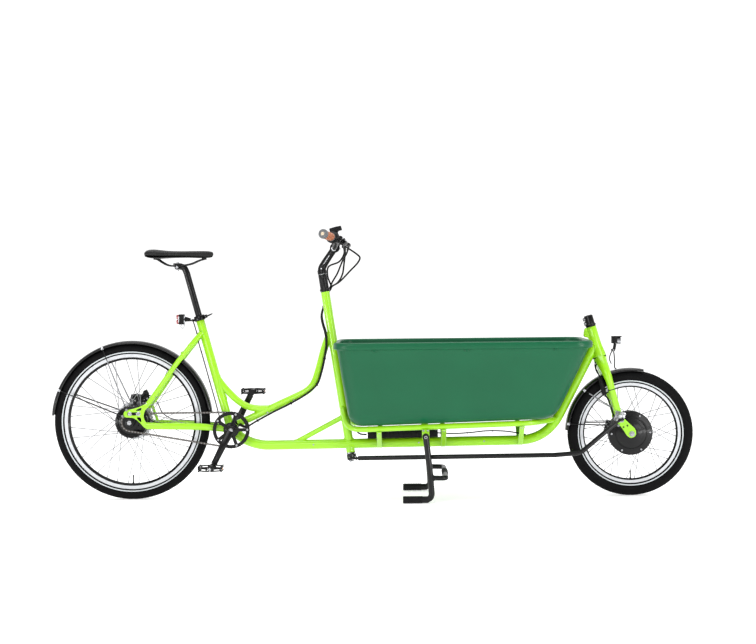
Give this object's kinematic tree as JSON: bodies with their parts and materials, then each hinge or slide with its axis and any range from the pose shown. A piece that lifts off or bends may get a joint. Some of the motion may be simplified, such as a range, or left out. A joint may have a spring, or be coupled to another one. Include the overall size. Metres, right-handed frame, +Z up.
{
  "type": "cargo bicycle",
  "caption": "Long two-wheeled cargo bicycle with an open tub between rider and front wheel, rod steering, hub motor, hub gears and a centre stand.",
  "frame": {"origin": "on the ground, under the middle of the bounding box", "axes": "+X forward, +Y to the rider's left, +Z up"},
  "size_m": [2.6577, 0.6396, 1.1319],
  "materials": {
    "lime_paint": "gloss powder coat",
    "tub_plastic": "moulded polyethylene, fine grain",
    "black_metal": "satin black anodised or coated",
    "black_plastic": "moulded",
    "gloss_guard": "gloss",
    "tyre_rubber": "matt rubber",
    "saddle_cover": "smooth synthetic cover",
    "bright_steel": "bright",
    "tan_grip": "stitched grip leather"
  },
  "bodies": {
    "frame": {"main_beam": "lime_paint", "seat_tube": "lime_paint", "seatstays": "lime_paint", "chainstays": "lime_paint", "column_tube": "lime_paint", "down_tube": "lime_paint", "cradle_rail_right": "lime_paint", "cradle_rail_left": "lime_paint", "head_tube": "lime_paint", "cargo_tub": "tub_plastic", "control_box": "black_plastic", "rear_mudguard": "gloss_guard", "seat_clamp": "black_metal", "rear_light": "black_plastic", "rear_brake_caliper": "black_metal", "rear_axle": "black_metal", "chain": "bright_steel", "frame_cable": "black_plastic"},
    "seat": {"seatpost": "black_metal", "saddle": "saddle_cover", "saddle_rails": "bright_steel"},
    "clamp_lever": {"seat_clamp_lever": "black_metal"},
    "steering_column": {"column_shaft": "black_metal", "stem": "black_metal", "handlebar": "black_metal", "grip_right": "tan_grip", "grip_left": "tan_grip", "brake_bracket_right": "black_metal", "brake_bracket_left": "black_metal", "display": "black_plastic", "column_arm": "black_metal", "handlebar_cables": "black_plastic"},
    "shifter": {"shifter_ring": "black_plastic"},
    "lever_right": {"brake_lever_right": "black_metal"},
    "lever_left": {"brake_lever_left": "black_metal"},
    "tie_rod": {"tie_rod": "black_metal"},
    "fork": {"fork": "lime_paint", "fork_clamp": "black_metal", "front_mudguard": "gloss_guard", "headlight": "black_plastic", "steering_bracket": "bright_steel", "front_brake_caliper": "black_metal", "front_axle": "bright_steel", "fork_cable": "black_plastic"},
    "front_wheel": {"front_tyre": "tyre_rubber", "front_rim": "black_metal", "hub_motor": "black_metal", "front_brake_rotor": "bright_steel"},
    "rear_wheel": {"rear_tyre": "tyre_rubber", "rear_rim": "black_metal", "rear_hub": "black_metal", "rear_brake_rotor": "bright_steel"},
    "sprocket": {"sprocket": "bright_steel"},
    "crankset": {"chainring": "black_metal", "crank_right": "black_metal", "crank_left": "black_metal"},
    "pedal_right": {"pedal_right": "black_plastic"},
    "pedal_left": {"pedal_left": "black_plastic"},
    "stand": {"kickstand": "black_metal"}
  },
  "joints": [
    {"name": "fork_steer", "type": "hinge", "parent": "frame", "child": "fork", "pos_m": [0.912, 0, 0.702], "axis": [-0.2669, 0, 0.9637], "range_deg": [-30, 30]},
    {"name": "column_steer", "type": "hinge", "parent": "frame", "child": "steering_column", "pos_m": [-0.186, 0, 0.858], "axis": [-0.1473, 0, 0.9891], "range_deg": [-30, 30]},
    {"name": "rod_turn", "type": "hinge", "parent": "steering_column", "child": "tie_rod", "pos_m": [-0.08441, -0.13, 0.176], "axis": [-0.1473, 0.0134, 0.989], "range_deg": [-30, 30]},
    {"name": "front_wheel_spin", "type": "hinge", "parent": "fork", "child": "front_wheel", "pos_m": [1.0705, 0, 0.259], "axis": [0, 1, 0], "continuous": true},
    {"name": "rear_wheel_spin", "type": "hinge", "parent": "frame", "child": "rear_wheel", "pos_m": [-0.9935, 0, 0.324], "axis": [0, 1, 0], "continuous": true},
    {"name": "crank_spin", "type": "hinge", "parent": "frame", "child": "crankset", "pos_m": [-0.577, 0, 0.289], "axis": [0, 1, 0], "continuous": true},
    {"name": "sprocket_spin", "type": "hinge", "parent": "frame", "child": "sprocket", "pos_m": [-0.9935, -0.05, 0.324], "axis": [0, 1, 0], "continuous": true},
    {"name": "pedal_right_spin", "type": "hinge", "parent": "crankset", "child": "pedal_right", "pos_m": [-0.65191, -0.142, 0.14198], "axis": [0, 1, 0], "continuous": true},
    {"name": "pedal_left_spin", "type": "hinge", "parent": "crankset", "child": "pedal_left", "pos_m": [-0.50209, 0.142, 0.43602], "axis": [0, 1, 0], "continuous": true},
    {"name": "stand_fold", "type": "hinge", "parent": "frame", "child": "stand", "pos_m": [0.223, 0, 0.267], "axis": [0, 1, 0], "range_deg": [0, 70]},
    {"name": "seat_height", "type": "slide", "parent": "frame", "child": "seat", "axis": [-0.2602, 0, 0.9656], "range_m": [-0.11, 0.06]},
    {"name": "clamp_lever_open", "type": "hinge", "parent": "frame", "child": "clamp_lever", "pos_m": [-0.68052, 0, 0.757], "axis": [0, 1, 0], "range_deg": [0, 60]},
    {"name": "shifter_twist", "type": "hinge", "parent": "steering_column", "child": "shifter", "pos_m": [-0.143, -0.2, 1.07331], "axis": [-0.2859, -0.9529, 0.1012], "range_deg": [-60, 60]},
    {"name": "brake_right_pull", "type": "hinge", "parent": "steering_column", "child": "lever_right", "pos_m": [-0.1037, -0.171, 1.05802], "axis": [0, 0, 1], "range_deg": [-12, 0], "stiffness_Nm_per_rad": 0.8, "springref_deg": 2.86},
    {"name": "brake_left_pull", "type": "hinge", "parent": "steering_column", "child": "lever_left", "pos_m": [-0.1037, 0.171, 1.05802], "axis": [0, 0, 1], "range_deg": [0, 12], "stiffness_Nm_per_rad": 0.8, "springref_deg": -2.86}
  ],
  "couplings": [
    {"joint": "column_steer", "follows": "fork_steer", "ratio": 0.9744},
    {"joint": "rod_turn", "follows": "fork_steer", "ratio": -0.9744},
    {"joint": "sprocket_spin", "follows": "crank_spin", "ratio": 2}
  ]
}
